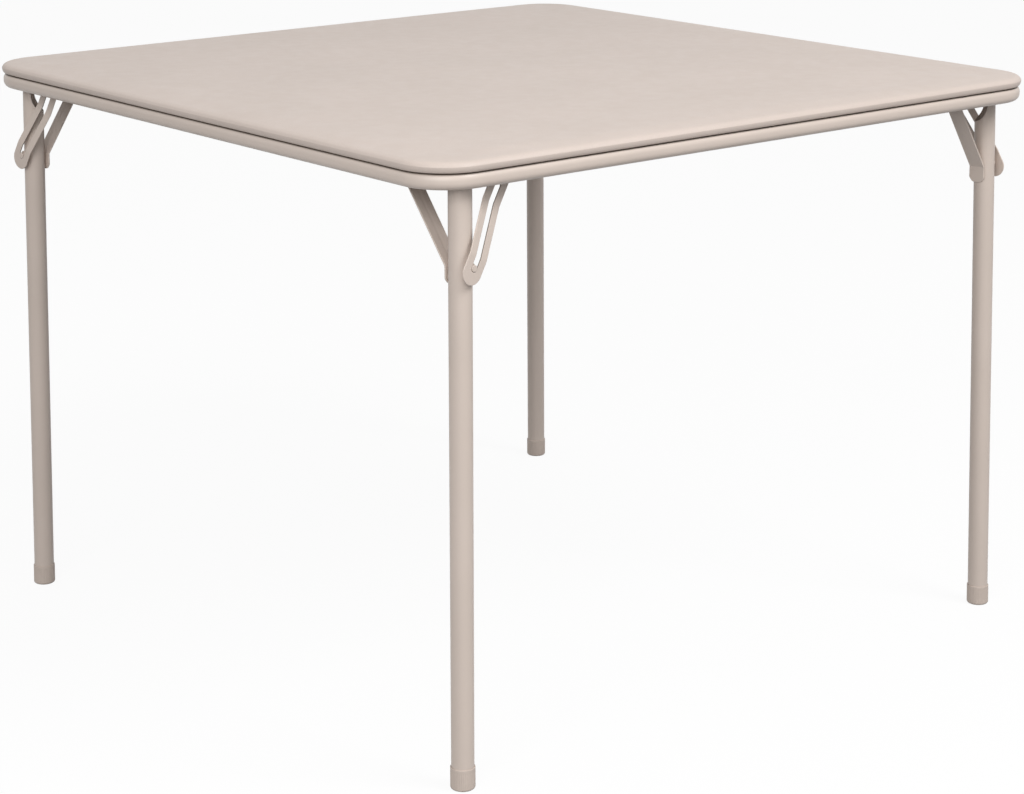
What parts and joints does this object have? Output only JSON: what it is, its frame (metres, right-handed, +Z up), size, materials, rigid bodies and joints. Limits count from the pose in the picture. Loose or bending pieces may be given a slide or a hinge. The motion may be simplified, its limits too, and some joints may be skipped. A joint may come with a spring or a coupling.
{
  "type": "folding card table",
  "caption": "Square padded table top on a bulged steel rail, with a folding round tube leg at each corner, a plain side brace and a slotted lock strap.",
  "frame": {"origin": "on the floor under the middle of the top", "axes": "+Z up, X and Y along the sides of the square top, the front side at -Y"},
  "size_m": [0.9524, 0.9524, 0.711],
  "materials": {
    "vinyl": "soft satin vinyl",
    "foam": "open foam",
    "hardboard": "smooth hardboard",
    "frame_paint": "satin paint",
    "leg_paint": "satin paint",
    "strip_steel": "satin paint",
    "zinc_steel": "zinc plated",
    "cap_plastic": "satin moulded plastic"
  },
  "bodies": {
    "table_top": {"rail_frame": "frame_paint", "top_panel": "hardboard", "foam_pad": "foam", "vinyl_cover": "vinyl", "rail_screws": "zinc_steel", "hinge_screws": "zinc_steel", "brace_screws": "zinc_steel", "front_left_hinge_rod": "zinc_steel", "front_left_hinge_bracket": "strip_steel", "front_left_brace_bracket": "strip_steel", "front_left_strap_rivet": "zinc_steel", "front_right_hinge_rod": "zinc_steel", "front_right_hinge_bracket": "strip_steel", "front_right_brace_bracket": "strip_steel", "front_right_strap_rivet": "zinc_steel", "rear_right_hinge_rod": "zinc_steel", "rear_right_hinge_bracket": "strip_steel", "rear_right_brace_bracket": "strip_steel", "rear_right_strap_rivet": "zinc_steel", "rear_left_hinge_rod": "zinc_steel", "rear_left_hinge_bracket": "strip_steel", "rear_left_brace_bracket": "strip_steel", "rear_left_strap_rivet": "zinc_steel"},
    "front_left_leg": {"front_left_leg_tube": "leg_paint", "front_left_foot_cap": "cap_plastic", "front_left_hinge_sleeve": "leg_paint", "front_left_side_brace": "strip_steel", "front_left_brace_rivet": "strip_steel"},
    "front_left_strap": {"front_left_lock_strap": "strip_steel"},
    "front_left_stud": {"front_left_lock_stud": "zinc_steel"},
    "front_right_leg": {"front_right_leg_tube": "leg_paint", "front_right_foot_cap": "cap_plastic", "front_right_hinge_sleeve": "leg_paint", "front_right_side_brace": "strip_steel", "front_right_brace_rivet": "strip_steel"},
    "front_right_strap": {"front_right_lock_strap": "strip_steel"},
    "front_right_stud": {"front_right_lock_stud": "zinc_steel"},
    "rear_right_leg": {"rear_right_leg_tube": "leg_paint", "rear_right_foot_cap": "cap_plastic", "rear_right_hinge_sleeve": "leg_paint", "rear_right_side_brace": "strip_steel", "rear_right_brace_rivet": "strip_steel"},
    "rear_right_strap": {"rear_right_lock_strap": "strip_steel"},
    "rear_right_stud": {"rear_right_lock_stud": "zinc_steel"},
    "rear_left_leg": {"rear_left_leg_tube": "leg_paint", "rear_left_foot_cap": "cap_plastic", "rear_left_hinge_sleeve": "leg_paint", "rear_left_side_brace": "strip_steel", "rear_left_brace_rivet": "strip_steel"},
    "rear_left_strap": {"rear_left_lock_strap": "strip_steel"},
    "rear_left_stud": {"rear_left_lock_stud": "zinc_steel"}
  },
  "joints": [
    {"name": "front_left_leg_fold", "type": "hinge", "parent": "table_top", "child": "front_left_leg", "pos_m": [-0.41507, -0.44222, 0.681], "axis": [0.225, -0.9744, 0], "range_deg": [0, 91]},
    {"name": "front_left_strap_turn", "type": "hinge", "parent": "table_top", "child": "front_left_strap", "pos_m": [-0.36377, -0.44552, 0.6828], "axis": [0.1219, -0.9925, 0], "range_deg": [0, 110.9]},
    {"name": "front_left_stud_slide", "type": "slide", "parent": "front_left_strap", "child": "front_left_stud", "axis": [0.4893, 0.2151, 0.8452], "range_m": [0, 0.0664]},
    {"name": "front_right_leg_fold", "type": "hinge", "parent": "table_top", "child": "front_right_leg", "pos_m": [0.44222, -0.41507, 0.681], "axis": [0.9744, 0.225, 0], "range_deg": [0, 91]},
    {"name": "front_right_strap_turn", "type": "hinge", "parent": "table_top", "child": "front_right_strap", "pos_m": [0.44552, -0.36377, 0.6828], "axis": [0.9925, 0.1219, 0], "range_deg": [0, 110.9]},
    {"name": "front_right_stud_slide", "type": "slide", "parent": "front_right_strap", "child": "front_right_stud", "axis": [-0.2151, 0.4893, 0.8452], "range_m": [0, 0.0664]},
    {"name": "rear_right_leg_fold", "type": "hinge", "parent": "table_top", "child": "rear_right_leg", "pos_m": [0.41507, 0.44222, 0.681], "axis": [-0.225, 0.9744, 0], "range_deg": [0, 91]},
    {"name": "rear_right_strap_turn", "type": "hinge", "parent": "table_top", "child": "rear_right_strap", "pos_m": [0.36377, 0.44552, 0.6828], "axis": [-0.1219, 0.9925, 0], "range_deg": [0, 110.9]},
    {"name": "rear_right_stud_slide", "type": "slide", "parent": "rear_right_strap", "child": "rear_right_stud", "axis": [-0.4893, -0.2151, 0.8452], "range_m": [0, 0.0664]},
    {"name": "rear_left_leg_fold", "type": "hinge", "parent": "table_top", "child": "rear_left_leg", "pos_m": [-0.44222, 0.41507, 0.681], "axis": [-0.9744, -0.225, 0], "range_deg": [0, 91]},
    {"name": "rear_left_strap_turn", "type": "hinge", "parent": "table_top", "child": "rear_left_strap", "pos_m": [-0.44552, 0.36377, 0.6828], "axis": [-0.9925, -0.1219, 0], "range_deg": [0, 110.9]},
    {"name": "rear_left_stud_slide", "type": "slide", "parent": "rear_left_strap", "child": "rear_left_stud", "axis": [0.2151, -0.4893, 0.8452], "range_m": [0, 0.0664]}
  ],
  "couplings": [
    {"joint": "front_left_strap_turn", "follows": "front_left_leg_fold", "ratio": 1.2185},
    {"joint": "front_left_stud_slide", "follows": "front_left_leg_fold", "m_per_rad": 0.041659},
    {"joint": "front_right_strap_turn", "follows": "front_right_leg_fold", "ratio": 1.2185},
    {"joint": "front_right_stud_slide", "follows": "front_right_leg_fold", "m_per_rad": 0.041659},
    {"joint": "rear_right_strap_turn", "follows": "rear_right_leg_fold", "ratio": 1.2185},
    {"joint": "rear_right_stud_slide", "follows": "rear_right_leg_fold", "m_per_rad": 0.041659},
    {"joint": "rear_left_strap_turn", "follows": "rear_left_leg_fold", "ratio": 1.2185},
    {"joint": "rear_left_stud_slide", "follows": "rear_left_leg_fold", "m_per_rad": 0.041659}
  ]
}
